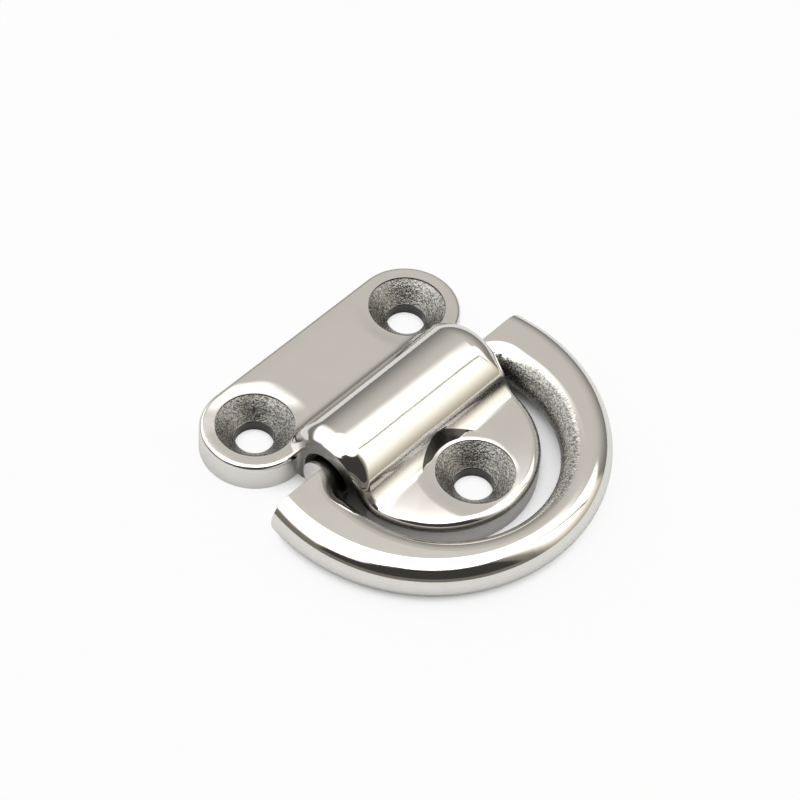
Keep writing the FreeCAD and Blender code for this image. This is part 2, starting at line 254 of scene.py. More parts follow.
def distance_from_axes(steel, axes):
    """How far a point is from the nearest of some upright axes, in millimetres."""
    tree = steel.tree
    flat = node(tree, "ShaderNodeCombineXYZ")
    put(tree, flat.inputs["X"], steel.split["X"])
    put(tree, flat.inputs["Y"], steel.split["Y"])
    nearest = None
    for x, y in axes:
        measured = node(tree, "ShaderNodeVectorMath", operation="DISTANCE")
        put(tree, measured.inputs[0], flat.outputs[0])
        put(tree, measured.inputs[1], (x, y, 0.0))
        distance = measured.outputs["Value"]
        nearest = distance if nearest is None else calc(tree, "MINIMUM", nearest, distance)
    return nearest


def distance_from_hinge(steel):
    """How far a point is from the hinge line, in millimetres."""
    tree = steel.tree
    hinge = hinge_point()
    along_y = calc(tree, "SUBTRACT", steel.split["Y"], hinge[1])
    along_z = calc(tree, "SUBTRACT", steel.split["Z"], hinge[2])
    square = calc(tree, "MULTIPLY_ADD", along_z, along_z, calc(tree, "MULTIPLY", along_y, along_y))
    return calc(tree, "SQRT", square)


def steel_colour(steel, masks, settings, pits):
    """Polished steel, with grainy cast skin where as_cast is one. The walls and recesses that no wheel could reach
    get a dark rough colour that is also painted shade, and the deepest recesses get darker painted shade still.
    """
    tree = steel.tree
    clouds = noise(tree, steel.place, POLISH_CLOUDS)
    polish = mix_colour(tree, clouds, opaque(settings.polish_dark), opaque(settings.polish_light))
    in_pits = above(tree, pits, PIT_EDGE)
    skin = mix_colour(tree, in_pits, opaque(settings.cast_dark), opaque(settings.cast_light))
    dull_clouds = noise(tree, steel.place, DULL_CLOUDS, detail=3.0)
    dull_and_shade = mix_colour(tree, dull_clouds, opaque(settings.dull_shade_dark), opaque(settings.dull_shade_light))
    # Painted shade: the deepest recesses are darkened towards near-black
    dull_and_shade = mix_colour(tree, calc(tree, "MULTIPLY", masks.deep, DEEP_SHADE_SHARE), dull_and_shade, DEEP_SHADE_COLOUR)
    colour = mix_colour(tree, masks.unpolished, polish, dull_and_shade)
    return mix_colour(tree, masks.as_cast, colour, skin)


def varied(tree, clouds, setting, shares):
    """A setting times one share to another, as a noise goes through the middle of its range."""
    return ramp(tree, clouds, *NOISE_MIDDLE, setting * shares[0], setting * shares[1])


def steel_roughness(steel, masks, settings, pits):
    """How matt the steel is: buffed on its faces, satin on its side walls, rougher where it is as cast."""
    tree = steel.tree
    side = below(tree, calc(tree, "ABSOLUTE", steel.facing["Z"]), SIDE_FACING)
    clouds = noise(tree, steel.place, BUFFING_CLOUDS, detail=3.0)
    buffed = varied(tree, clouds, settings.polish_roughness, BUFFED_SHARES)
    satin = mix_number(tree, largest(tree, side, masks.satin), buffed, settings.side_roughness)
    satin = mix_number(tree, masks.unpolished, satin, settings.dull_roughness)
    return mix_number(tree, masks.as_cast, satin, varied(tree, pits, settings.cast_roughness, SKIN_SHARES))


def steel_relief(steel, masks, settings, pits):
    """The height in millimetres of the polisher's waves and hairlines, or of the cast skin's grain."""
    tree = steel.tree
    waves = noise(tree, steel.place, HAND_WAVES, detail=1.0)
    hairlines = calc(tree, "MULTIPLY", noise(tree, steel.place, HAIRLINES), settings.hairline_depth)
    polished = calc(tree, "MULTIPLY_ADD", waves, settings.waviness, hairlines)
    lumps = calc(tree, "MULTIPLY_ADD", cells(tree, steel.place, SKIN_GRAINS), GRAIN_SHARE, pits)
    return mix_number(tree, masks.as_cast, polished, calc(tree, "MULTIPLY", lumps, settings.cast_depth))


def finish_steel(steel, masks, settings):
    """Sets the steel's colour and roughness, and returns its relief in millimetres."""
    pits = noise(steel.tree, steel.place, SKIN_PITS, detail=4.0, roughness=0.6)
    put(steel.tree, steel.shader.inputs["Base Color"], steel_colour(steel, masks, settings, pits))
    put(steel.tree, steel.shader.inputs["Roughness"], steel_roughness(steel, masks, settings, pits))
    return steel_relief(steel, masks, settings, pits)


def set_relief(steel, relief):
    """Turns a height in millimetres into the shader's normal."""
    bump = node(steel.tree, "ShaderNodeBump")
    bump.inputs["Strength"].default_value = 1.0
    bump.inputs["Distance"].default_value = MILLIMETRE
    put(steel.tree, bump.inputs["Height"], relief)
    put(steel.tree, steel.shader.inputs["Normal"], bump.outputs["Normal"])


def paint(piece, material):
    """Puts a material in every slot of a piece."""
    slots = piece.material_slots
    if not slots:
        piece.data.materials.append(material)
    for slot in slots:
        slot.material = material


# Settings


class SteelFinish(bpy.types.PropertyGroup):
    """Colours and textures of the polished and as-cast steel, and the dark colours that paint shade on its walls
    and recesses.
    """

    polish_light: FloatVectorProperty(
        name="Polish, light", description="Colour of the brighter clouds of the polished steel",
        default=(0.86, 0.845, 0.82), subtype="COLOR", size=3, min=0.0, max=1.0)
    polish_dark: FloatVectorProperty(
        name="Polish, dark", description="Colour of the darker clouds of the polished steel",
        default=(0.80, 0.782, 0.755), subtype="COLOR", size=3, min=0.0, max=1.0)
    cast_light: FloatVectorProperty(
        name="Cast skin, light", description="Colour of the as-cast skin's high grains",
        default=(0.50, 0.49, 0.47), subtype="COLOR", size=3, min=0.0, max=1.0)
    cast_dark: FloatVectorProperty(
        name="Cast skin, dark", description="Colour of the as-cast skin's pits",
        default=(0.15, 0.146, 0.138), subtype="COLOR", size=3, min=0.0, max=1.0)
    # The two colours below are the rough walls' own colour and painted shade at once: they darken the walls and
    # recesses where shade falls.
    dull_shade_light: FloatVectorProperty(
        name="Unpolished, light", description="Colour of the brighter clouds where no wheel could reach",
        default=(0.30, 0.29, 0.275), subtype="COLOR", size=3, min=0.0, max=1.0)
    dull_shade_dark: FloatVectorProperty(
        name="Unpolished, dark", description="Colour of the darker clouds where no wheel could reach",
        default=(0.15, 0.147, 0.14), subtype="COLOR", size=3, min=0.0, max=1.0)
    dull_roughness: FloatProperty(
        name="Unpolished roughness", description="How matt the places are that no wheel could reach",
        default=0.28, min=0.0, max=1.0, subtype="FACTOR")
    polish_roughness: FloatProperty(
        name="Polish roughness", description="How matt the polished faces are",
        default=0.075, min=0.0, max=1.0, subtype="FACTOR")
    side_roughness: FloatProperty(
        name="Side roughness", description="How matt the upright ground walls are",
        default=0.30, min=0.0, max=1.0, subtype="FACTOR")
    cast_roughness: FloatProperty(
        name="Cast roughness", description="How matt the as-cast skin is",
        default=0.30, min=0.0, max=1.0, subtype="FACTOR")
    waviness: FloatProperty(
        name="Waviness", description="Height in millimetres of the slow waves that hand polishing leaves",
        default=0.014, min=0.0, max=0.5)
    hairline_depth: FloatProperty(
        name="Hairlines", description="Height in millimetres of the fine marks of the buffing wheel",
        default=0.0015, min=0.0, max=0.1)
    cast_depth: FloatProperty(
        name="Cast grain", description="Height in millimetres of the as-cast skin's grain",
        default=0.08, min=0.0, max=1.0)


class BaseShape(bpy.types.PropertyGroup):
    """Sizes on the base that its finish follows."""

    sink_radius: FloatProperty(
        name="Countersink radius", description="Radius of a screw head's cone at the face",
        default=0.0063, min=0.001, max=0.02, subtype="DISTANCE", unit="LENGTH", precision=4)
    dish_radius: FloatProperty(
        name="Dish radius", description="How far from a hole the polishing has softened the face",
        default=0.0092, min=0.001, max=0.02, subtype="DISTANCE", unit="LENGTH", precision=4)
    dish_depth: FloatProperty(
        name="Dish depth", description="How deep the face falls towards a hole",
        default=0.00022, min=0.0, max=0.002, subtype="DISTANCE", unit="LENGTH", precision=5)
    rim_step: FloatProperty(
        name="Rim step", description="Depth of the small upright step round the top of each countersink",
        default=0.0003, min=0.0, max=0.002, subtype="DISTANCE", unit="LENGTH", precision=5)
    crown: FloatProperty(
        name="Flange crown", description="How fast the flanges' ends fall away, in 1/mm",
        default=0.0024, min=0.0, max=0.05, precision=4)
    driver_radius: FloatProperty(
        name="Driver pocket radius", description="Radius of the room for the screwdriver over the front hole",
        default=0.0081, min=0.001, max=0.02, subtype="DISTANCE", unit="LENGTH", precision=4)
    pocket_radius: FloatProperty(
        name="Finished pocket radius", description="Radius of the driver's pocket where it meets the flange",
        default=0.00685, min=0.001, max=0.02, subtype="DISTANCE", unit="LENGTH", precision=5)
    flange_thickness: FloatProperty(
        name="Flange thickness", description="Height of the flanges' top face",
        default=0.005, min=0.001, max=0.02, subtype="DISTANCE", unit="LENGTH", precision=4)
    housing_radius: FloatProperty(
        name="Housing radius", description="Radius of the half-round housing over the hinge line",
        default=0.0084, min=0.001, max=0.05, subtype="DISTANCE", unit="LENGTH", precision=4)
    housing_length: FloatProperty(
        name="Housing length", description="Length of the housing, which is also the front flange's width",
        default=0.0336, min=0.001, max=0.2, subtype="DISTANCE", unit="LENGTH", precision=4)
    rim_round: FloatProperty(
        name="Rim round", description="Round on the ends of the housing in the solid",
        default=0.0016, min=0.0, max=0.01, subtype="DISTANCE", unit="LENGTH", precision=4)
    roll_length: FloatProperty(
        name="Roll length", description="How far from its ends the housing's top starts to roll over",
        default=0.0033, min=0.0, max=0.02, subtype="DISTANCE", unit="LENGTH", precision=4)
    roll_angle: FloatProperty(
        name="Roll angle", description="How steep the housing's top is where it meets its end wall",
        default=math.radians(42.0), min=0.1, max=1.5, subtype="ANGLE", unit="ROTATION")
    crease_angle: FloatProperty(
        name="Crease angle", description="Edges sharper than this stay sharp",
        default=math.radians(28.0), min=0.0, max=3.14, subtype="ANGLE", unit="ROTATION")
    channel_radius: FloatProperty(
        name="Channel radius", description="Radius of the round channel that the bar turns in",
        default=0.0044, min=0.001, max=0.02, subtype="DISTANCE", unit="LENGTH", precision=4)


class RingShape(bpy.types.PropertyGroup):
    """Sizes on the ring that its finish follows."""

    opening_radius: FloatProperty(
        name="Opening radius", description="Radius of the ring's round opening",
        default=0.0185, min=0.001, max=0.1, subtype="DISTANCE", unit="LENGTH", precision=4)
    opening_centre: FloatProperty(
        name="Opening centre", description="Where the centre of the opening lies along the ring",
        default=-0.0134, min=-0.1, max=0.1, subtype="DISTANCE", unit="LENGTH", precision=4)
    skin_width: FloatProperty(
        name="Skin width", description="How far outside the opening the as-cast skin reaches",
        default=0.0025, min=0.0, max=0.02, subtype="DISTANCE", unit="LENGTH", precision=4)
    bar_end: FloatProperty(
        name="Bar end", description="How far from the middle the cross bar turns into the arms",
        default=0.0176, min=0.001, max=0.1, subtype="DISTANCE", unit="LENGTH", precision=4)


class Studio(bpy.types.PropertyGroup):
    """The camera, the floor and the light."""

    azimuth: FloatProperty(
        name="Azimuth", description="Where the camera stands round the fitting",
        default=math.radians(-51.63), subtype="ANGLE", unit="ROTATION")
    elevation: FloatProperty(
        name="Elevation", description="How high the camera stands over the deck",
        default=math.radians(50.21), subtype="ANGLE", unit="ROTATION")
    roll: FloatProperty(
        name="Roll", description="How far the camera leans to one side",
        default=math.radians(5.43), subtype="ANGLE", unit="ROTATION")
    position: FloatVectorProperty(
        name="Position", description="Where the camera stands",
        default=(-0.21973, -0.17810, 0.34490), size=3, subtype="XYZ", unit="LENGTH", precision=5)
    lens: FloatProperty(
        name="Lens", description="Focal length in millimetres on a sensor 36 mm wide",
        default=126.97, min=10.0, max=500.0)
    floor_size: FloatProperty(
        name="Floor size", description="Side of the square floor",
        default=4.0, min=0.5, max=20.0, subtype="DISTANCE", unit="LENGTH")
    floor_colour: FloatVectorProperty(
        name="Floor colour", description="Colour of the floor",
        default=(0.70, 0.71, 0.73), subtype="COLOR", size=3, min=0.0, max=1.0)


# The base's shape

# Limits for telling which vertices belong to a form, in millimetres
ON_PLANE = 0.002
ON_CIRCLE = 0.02
ON_HOUSING = 0.09
UNDER_HOUSING = 0.02
FLAT_END = 0.01
NEAR_RIM = 0.4

# Limits for telling which faces belong to a form: the upward part of a cone's normal, and the cosine between
# a face's normal and a vertex's exact one
CONE_SLOPE = (0.4, 0.9)
SAME_FACING = 0.97

# How far the step's foot lies inside a countersink's rim, in millimetres
STEP_LEAN = 0.03

# How far round the driver pocket's foot is drawn in, and the share of it that is drawn in fully
POCKET_TURN = math.radians(44.0)
POCKET_FULL_SHARE = 0.6

# How far down the housing its roll reaches and fades out, how finely its faces are cut, and the small turn
# that its normals are measured over
ROLL_REACH = math.radians(68.0)
ROLL_FADE_DEGREES = (67.0, 34.0)
ROLL_CUTS = 3
TURN_STEP = 0.001


def work_copy(node_name, name):
    """A merged copy of a CAD node's mesh, as a piece of its own."""
    mesh = frame["nodes"][node_name].data.copy()
    mesh.materials.clear()
    piece = bpy.data.objects.new(name, mesh)
    bpy.context.scene.collection.objects.link(piece)
    bpy.ops.object.select_all(action="DESELECT")
    bpy.context.view_layer.objects.active = piece
    piece.select_set(True)
    bpy.ops.object.mode_set(mode="EDIT")
    bpy.ops.mesh.select_all(action="SELECT")
    bpy.ops.mesh.remove_doubles(threshold=MILLIMETRE / 1000)
    bpy.ops.object.mode_set(mode="OBJECT")
    if mesh.has_custom_normals:
        bpy.ops.mesh.customdata_custom_splitnormals_clear()
    return piece


def away_from(point, hole):
    """How far a point in metres is from a hole's axis, in millimetres."""
    return math.hypot(millimetres(point.x) - hole[0], millimetres(point.y) - hole[1])


def scale_from(vertex, hole, scale):
    """Moves a vertex so that its distance from a hole's axis is scaled."""
    hole_x, hole_y = hole
    vertex.co.x = (hole_x + (millimetres(vertex.co.x) - hole_x) * scale) * MILLIMETRE
    vertex.co.y = (hole_y + (millimetres(vertex.co.y) - hole_y) * scale) * MILLIMETRE


def taper_driver_pocket(piece, shape):
    """Draws the foot of the driver pocket's wall in to the countersink, so that the wall leans as cast."""
    top = millimetres(shape.flange_thickness)
    hole = screw_places()[FRONT_HOLE]
    wide = millimetres(shape.driver_radius)
    shift = wide - millimetres(shape.pocket_radius)
    for vertex in piece.data.vertices:
        x, y, z = (millimetres(value) for value in vertex.co)
        away = away_from(vertex.co, hole)
        aside = abs(math.atan2(x - hole[0], y - hole[1]))
        if abs(z - top) > ON_PLANE or abs(away - wide) > ON_CIRCLE or aside > POCKET_TURN:
            continue
        weight = smooth_step(POCKET_TURN, POCKET_TURN * POCKET_FULL_SHARE, aside)
        scale_from(vertex, hole, 1.0 - shift * weight / away)


def cut_cones(mesh, level, on_cone):
    """Cuts the faces that are on a countersink's cone with a level plane."""
    for polygon in mesh.polygons:
        polygon.select = on_cone(polygon)
    bpy.ops.object.mode_set(mode="EDIT")
    bpy.ops.mesh.select_mode(type="FACE")
    bpy.ops.mesh.bisect(plane_co=(0.0, 0.0, level * MILLIMETRE), plane_no=(0.0, 0.0, 1.0))
    bpy.ops.mesh.select_all(action="DESELECT")
    bpy.ops.object.mode_set(mode="OBJECT")


def step_sink_rims(piece, shape):
    """Cuts a small upright step round the top of each countersink, as the casting has."""
    mesh = piece.data
    sink = millimetres(shape.sink_radius)
    level = millimetres(shape.flange_thickness - shape.rim_step)
    holes = screw_places()
    flattest, steepest = CONE_SLOPE

    def on_cone(polygon):
        in_sink = min(away_from(polygon.center, hole) for hole in holes) < sink
        return in_sink and flattest < polygon.normal.z < steepest

    cut_cones(mesh, level, on_cone)
    for vertex in mesh.vertices:
        nearest = min(holes, key=lambda hole: away_from(vertex.co, hole))
        away = away_from(vertex.co, nearest)
        if abs(millimetres(vertex.co.z) - level) > ON_PLANE or abs(away - sink) > NEAR_RIM:
            continue
        scale_from(vertex, nearest, (sink - STEP_LEAN) / away)


def around_hinge(vertex):
    """A vertex's place along, out from and round the hinge line, in millimetres and radians from the top."""
    hinge = hinge_point()
    x, y, z = (millimetres(value) for value in vertex.co)
    return x, math.hypot(y - hinge[1], z - hinge[2]), math.atan2(y - hinge[1], z - hinge[2])


def refine(piece, wanted, cuts):
    """Splits the faces whose corners are all wanted into smaller ones."""
    mesh = piece.data
    kept = [wanted(vertex) for vertex in mesh.vertices]
    for polygon in mesh.polygons:
        polygon.select = all(kept[corner] for corner in polygon.vertices)
    for edge in mesh.edges:
        edge.select = False
    for vertex in mesh.vertices:
        vertex.select = False
    bpy.ops.object.mode_set(mode="EDIT")
    bpy.ops.mesh.select_mode(type="FACE")
    bpy.ops.mesh.subdivide(number_cuts=cuts)
    bpy.ops.object.mode_set(mode="OBJECT")


class HousingRoll:
    """The slow roll of the housing's top towards its ends, in millimetres and radians.

    A turn is the angle on the end's round in the solid, from nought on the housing's top to a quarter turn on
    its end wall. Around is the angle round the hinge line, from nought at the very top.
    """

    def __init__(self, shape):
        self.radius = millimetres(shape.housing_radius)
        self.half = millimetres(shape.housing_length / 2)
        self.rim = millimetres(shape.rim_round)
        self.start = self.half - millimetres(shape.roll_length)
        self.steep = shape.roll_angle
        self.bend = (self.half - self.start) / math.sin(self.steep)

    def covers(self, vertex):
        """Whether a vertex lies on the housing's top or on its rounded ends."""
        x, out, around = around_hinge(vertex)
        aside = max(abs(x) - (self.half - self.rim), 0.0)
        outward = out - (self.radius - self.rim)
        on_surface = abs(math.hypot(aside, outward) - self.rim) < ON_HOUSING
        return on_surface and outward > -UNDER_HOUSING and abs(around) < ROLL_REACH

    def place(self, turn, around):
        """A rolled point for an end of the housing, from the hinge line's middle."""
        weight = smooth_step(*ROLL_FADE_DEGREES, math.degrees(abs(around)))
        slow = turn * self.steep / (math.pi / 2)
        x = self.half - self.rim + self.rim * math.sin(turn)
        out = self.radius - self.rim + self.rim * math.cos(turn)
        x += weight * (self.start + self.bend * math.sin(slow) - x)
        out += weight * (self.radius - self.bend * (1.0 - math.cos(slow)) - out)
        return Vector((x, out * math.sin(around), out * math.cos(around)))

    def normal(self, turn, around):
        """The rolled shape's exact normal at a point, looking away from the housing."""
        along = self.place(turn + TURN_STEP, around) - self.place(turn - TURN_STEP, around)
        across = self.place(turn, around + TURN_STEP) - self.place(turn, around - TURN_STEP)
        normal = across.cross(along).normalized()
        if normal.x < 0.0:
            normal.negate()
        return normal

    def place_and_normal(self, vertex):
        """Where a vertex of the housing goes, from the hinge line's middle, and its exact normal."""
        x, out, around = around_hinge(vertex)
        if abs(x) < self.half - self.rim - FLAT_END:
            normal = Vector((0.0, math.sin(around), math.cos(around)))
            return normal * self.radius + Vector((x, 0.0, 0.0)), normal
        turn = math.atan2(abs(x) - (self.half - self.rim), out - (self.radius - self.rim))
        turn = min(max(turn, 0.0), math.pi / 2)
        place = self.place(turn, around)
        normal = self.normal(turn, around)
        place.x = math.copysign(place.x, x)
        normal.x = math.copysign(normal.x, x)
        return place, normal


def roll_housing_ends(piece, shape):
    """Rolls the housing's top over slowly towards its ends, and returns the exact normals of its vertices."""
    hinge = hinge_point()
    roll = HousingRoll(shape)
    refine(piece, roll.covers, ROLL_CUTS)
    normals = {}
    for vertex in piece.data.vertices:
        if not roll.covers(vertex):
            continue
        place, normals[vertex.index] = roll.place_and_normal(vertex)
        vertex.co = (place + Vector((0.0, hinge[1], hinge[2]))) * MILLIMETRE
    return normals


def keep_exact_normals(piece, normals):
    """Shades the faces between some vertices with those vertices' exact normals."""
    mesh = piece.data
    corners = [Vector(corner.vector) for corner in mesh.corner_normals]
    for polygon in mesh.polygons:
        for loop, vertex in zip(polygon.loop_indices, polygon.vertices):
            exact = normals.get(vertex)
            if exact is not None and exact.dot(polygon.normal) > SAME_FACING:
                corners[loop] = exact
    mesh.normals_split_custom_set(corners)


# The base's finish

# Soft edges: where each starts and ends, in millimetres past the size that it follows
BORE_EDGE = (0.05, 0.15)
CONE_EDGES = (0.15, -0.06)
CONE_SOFTNESS = 0.04
OVER_FACE = (0.02, 0.08)
POCKET_EDGE = (0.03, 0.09)
CHANNEL_EDGE = (0.1, 0.35)
RIM_EDGE = (0.04, 0.08)
STEP_EDGE = (-0.04, 0.02)
WALL_TOP = (-1.6, -0.6)
END_WALL_START = (-1.0, 0.0)
SATIN_FOOT_START = (0.0, 0.3)
SATIN_FOOT_END = (1.4, 2.2)
SATIN_FOOT_BACK = (-4.0, 0.0)

# Soft edges across the base, in millimetres from its middle
REAR_FLANGE_START = (0.5, 2.0)
SHALLOW_RIGHT = (-3.0, 4.0)
SHALLOW_FRONT = (-4.0, 0.0)

# Soft edges that follow which way a face looks, as parts of its normal
WALL_FACING = (0.2, 0.5)
END_FACING = (0.6, 0.85)

# How strong each finish is; on the outer and end walls this is how far they are darkened as painted shade and made
# matt
OUTER_WALL_SHARE = 0.55
END_WALL_SHARE = 0.9
SATIN_FOOT_SHARE = 0.9

# The dishes round the holes: their waves in lumps to a millimetre, how uneven they are and how far inside the
# rim they start in millimetres, and how much of them is missing at the front right
DISH_WAVES = 0.13
DISH_UNEVENNESS = 2.4
DISH_INSET = 0.8
SHALLOW_SHARE = 0.5

# Where the flanges start to fall away, in millimetres from the middle
CROWN_ASIDE = 12.0
CROWN_FRONT = -15.0


def cone_mask(steel, distance, shape):
    """Where a point is on a countersink's cone."""
    past_bore, past_rim = CONE_EDGES
    start = screw_mount()["dims"]["hole_r_mm"] + past_bore
    end = millimetres(shape.sink_radius) + past_rim
    return band(steel.tree, distance, start, end, CONE_SOFTNESS)


def bore_mask(steel, distance):
    """Where a point is inside a screw hole."""
    return below(steel.tree, distance, BORE_EDGE, screw_mount()["dims"]["hole_r_mm"])


def pocket_mask(steel, shape):
    """Where a point is on the wall of the room for the screwdriver."""
    from_front = distance_from_axes(steel, [screw_places()[FRONT_HOLE]])
    over_face = above(steel.tree, steel.split["Z"], OVER_FACE, millimetres(shape.flange_thickness))
    in_pocket = below(steel.tree, from_front, POCKET_EDGE, millimetres(shape.driver_radius))
    return product(steel.tree, over_face, in_pocket)


def rim_step_mask(steel, distance, upright, shape):
    """Where a point is on the small upright step round a countersink."""
    step_foot = millimetres(shape.flange_thickness) - millimetres(shape.rim_step)
    by_rim = below(steel.tree, distance, RIM_EDGE, millimetres(shape.sink_radius))
    over_foot = above(steel.tree, steel.split["Z"], STEP_EDGE, step_foot)
    return product(steel.tree, by_rim, over_foot, upright)


def shaded_wall_mask(steel, upright, shape):
    """How far the walls in front of the rear flange are darkened as painted shade and made matt: their feet, and
    the housing's ends.
    """
    tree = steel.tree
    before_flange = below(tree, steel.split["Y"], REAR_FLANGE_START)
    under_rim = below(tree, steel.split["Z"], WALL_TOP, millimetres(shape.flange_thickness))
    outer_wall = product(tree, upright, under_rim, before_flange, OUTER_WALL_SHARE)
    endways = above(tree, calc(tree, "ABSOLUTE", steel.facing["X"]), END_FACING)
    housing_front = hinge_point()[1] - millimetres(shape.housing_radius)
    over_channel = above(tree, steel.split["Y"], END_WALL_START, housing_front)
    end_wall = product(tree, endways, over_channel, before_flange, END_WALL_SHARE)
    return largest(tree, outer_wall, end_wall)


def front_foot_mask(steel, shape):
    """Where a point is on the foot of the housing's front."""
    top = millimetres(shape.flange_thickness)
    over_flange = above(steel.tree, steel.split["Z"], SATIN_FOOT_START, top)
    in_foot = below(steel.tree, steel.split["Z"], SATIN_FOOT_END, top)
    on_front = below(steel.tree, steel.split["Y"], SATIN_FOOT_BACK, hinge_point()[1])
    return product(steel.tree, over_flange, SATIN_FOOT_SHARE, in_foot, on_front)


def base_masks(steel, distance, shape):
    """Where the base has cast skin, where it is darkened as painted shade and made matt, where it is darkened
    further as painted shade in a recess, and where it is satin.
    """
    tree = steel.tree
    upright = below(tree, calc(tree, "ABSOLUTE", steel.facing["Z"]), WALL_FACING)
    on_step = rim_step_mask(steel, distance, upright, shape)
    # Painted shade: the bores, the driver pocket and the step round each countersink are darkened most, and the
    # channel and the walls before the rear flange get the dark rough colour
    deep = largest(tree, bore_mask(steel, distance), pocket_mask(steel, shape), on_step)
    in_channel = below(tree, distance_from_hinge(steel), CHANNEL_EDGE, millimetres(shape.channel_radius))
    unpolished = largest(tree, deep, in_channel, shaded_wall_mask(steel, upright, shape))
    return SteelMasks(cone_mask(steel, distance, shape), unpolished, deep, front_foot_mask(steel, shape))


def hole_dishes(steel, distance, shape):
    """Heights in millimetres of the polished dishes round the holes, which are shallow at the front right."""
    tree = steel.tree
    waves = noise(tree, steel.place, DISH_WAVES, detail=1.0)
    nearer = calc(tree, "SUBTRACT", distance, DISH_UNEVENNESS / 2)
    uneven = calc(tree, "MULTIPLY_ADD", waves, DISH_UNEVENNESS, nearer)
    right = above(tree, steel.split["X"], SHALLOW_RIGHT)
    front = below(tree, steel.split["Y"], SHALLOW_FRONT)
    share = calc(tree, "MULTIPLY_ADD", product(tree, right, front), -SHALLOW_SHARE, 1.0)
    start = millimetres(shape.sink_radius) - DISH_INSET
    width = millimetres(shape.dish_radius) - start
    end = calc(tree, "MULTIPLY_ADD", share, width, start)
    floor = calc(tree, "MULTIPLY", share, -millimetres(shape.dish_depth))
    return ramp(tree, uneven, start, end, floor, 0.0)


def flange_crown(steel, shape):
    """How far the flanges' ends fall away, as heights in millimetres."""
    tree = steel.tree
    aside = calc(tree, "ABSOLUTE", steel.split["X"])
    past_end = largest(tree, calc(tree, "SUBTRACT", aside, CROWN_ASIDE), 0.0)
    past_front = largest(tree, calc(tree, "SUBTRACT", CROWN_FRONT, steel.split["Y"]), 0.0)
    squares = calc(tree, "MULTIPLY_ADD", past_end, past_end, product(tree, past_front, past_front))
    return calc(tree, "MULTIPLY", squares, -shape.crown)


def base_material(shape, settings):
    """The base's steel, with cast skin and unpolished skin in its recesses."""
    steel = steel_material("base_polished_steel")
    tree = steel.tree
    distance = distance_from_axes(steel, screw_places())
    relief = finish_steel(steel, base_masks(steel, distance, shape), settings)
    softened = calc(tree, "ADD", hole_dishes(steel, distance, shape), flange_crown(steel, shape))
    set_relief(steel, calc(tree, "ADD", relief, softened))
    return steel.material


class DECKRING_OT_base(bpy.types.Operator):
    """Make the base casting: rolled housing ends, polished steel and cast skin in its recesses"""

    bl_idname = "deckring.base"
    bl_label = "Make the base"

    def execute(self, context):
        shape = context.scene.deckring_base
        piece = work_copy("base", "base_casting")
        taper_driver_pocket(piece, shape)
        step_sink_rims(piece, shape)
        normals = roll_housing_ends(piece, shape)
        bpy.ops.object.shade_smooth_by_angle(angle=shape.crease_angle, keep_sharp_edges=False)
        keep_exact_normals(piece, normals)
        paint(piece, base_material(shape, context.scene.deckring_steel))
        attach(piece, "base")
        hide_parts("base")
        return {"FINISHED"}


# The ring's finish

# Soft edges: where each starts and ends, in millimetres past the size that it follows
RING_SKIN_EDGE = (0.0, 0.9)
RING_INNER_WALL = (-1.2, -0.6)
BAR_END_EDGE = (-0.5, 0.3)

# Soft edges across the ring in millimetres from the middle, and from the hinge line for the bar's surface
RING_RIGHT_SIDE = (-3.0, 7.0)
RING_ARMS = (-15.0, -8.0)
BAR_SURFACE = (4.0, 4.4)

# The cast skin's ragged border: its noise in lumps to a millimetre, and in millimetres how ragged it is and
# how much nearer to the opening it ends on the arms
SKIN_BORDER = 1.4
SKIN_RAGGEDNESS = 1.2
ARM_SKIN_TRIM = 1.1


def ring_masks(steel, shape):
    """Where the ring's inner wall has cast skin, where its left side is darkened as painted shade and made matt,
    and where its bar is, which is darkened as painted shade.
    """
    tree = steel.tree
    distance = distance_from_axes(steel, [(0.0, millimetres(shape.opening_centre))])
    reach = millimetres(shape.opening_radius + shape.skin_width)
    border = noise(tree, steel.place, SKIN_BORDER, detail=4.0)
    ragged = calc(tree, "MULTIPLY_ADD", border, SKIN_RAGGEDNESS, distance)
    ragged = calc(tree, "ADD", ragged, ramp(tree, steel.split["Y"], *RING_ARMS, 0.0, ARM_SKIN_TRIM))
    on_skin = below(tree, ragged, RING_SKIN_EDGE, reach)
    inward = below(tree, distance, RING_INNER_WALL, reach)
    right_side = above(tree, steel.split["X"], RING_RIGHT_SIDE)
    # Painted shade: the inner wall's left side, in the narrow gap by the base, gets the dark rough colour
    dull_and_shade = product(tree, inward, calc(tree, "SUBTRACT", 1.0, right_side))
    aside = calc(tree, "ABSOLUTE", steel.split["X"])
    between_arms = below(tree, aside, BAR_END_EDGE, millimetres(shape.bar_end))
    # Painted shade: the bar, in the housing's shadow, is darkened
    bar = product(tree, between_arms, below(tree, distance_from_hinge(steel), BAR_SURFACE))
    return SteelMasks(product(tree, on_skin, right_side), largest(tree, dull_and_shade, bar), bar, 0.0)


class DECKRING_OT_ring(bpy.types.Operator):
    """Give the ring its polished steel, with as-cast skin round its opening"""

    bl_idname = "deckring.ring"
    bl_label = "Finish the ring"

    def execute(self, context):
        steel = steel_material("ring_polished_steel")
        masks = ring_masks(steel, context.scene.deckring_ring)
        set_relief(steel, finish_steel(steel, masks, context.scene.deckring_steel))
        paint(frame["nodes"]["d_ring"], steel.material)
        return {"FINISHED"}


# Studio

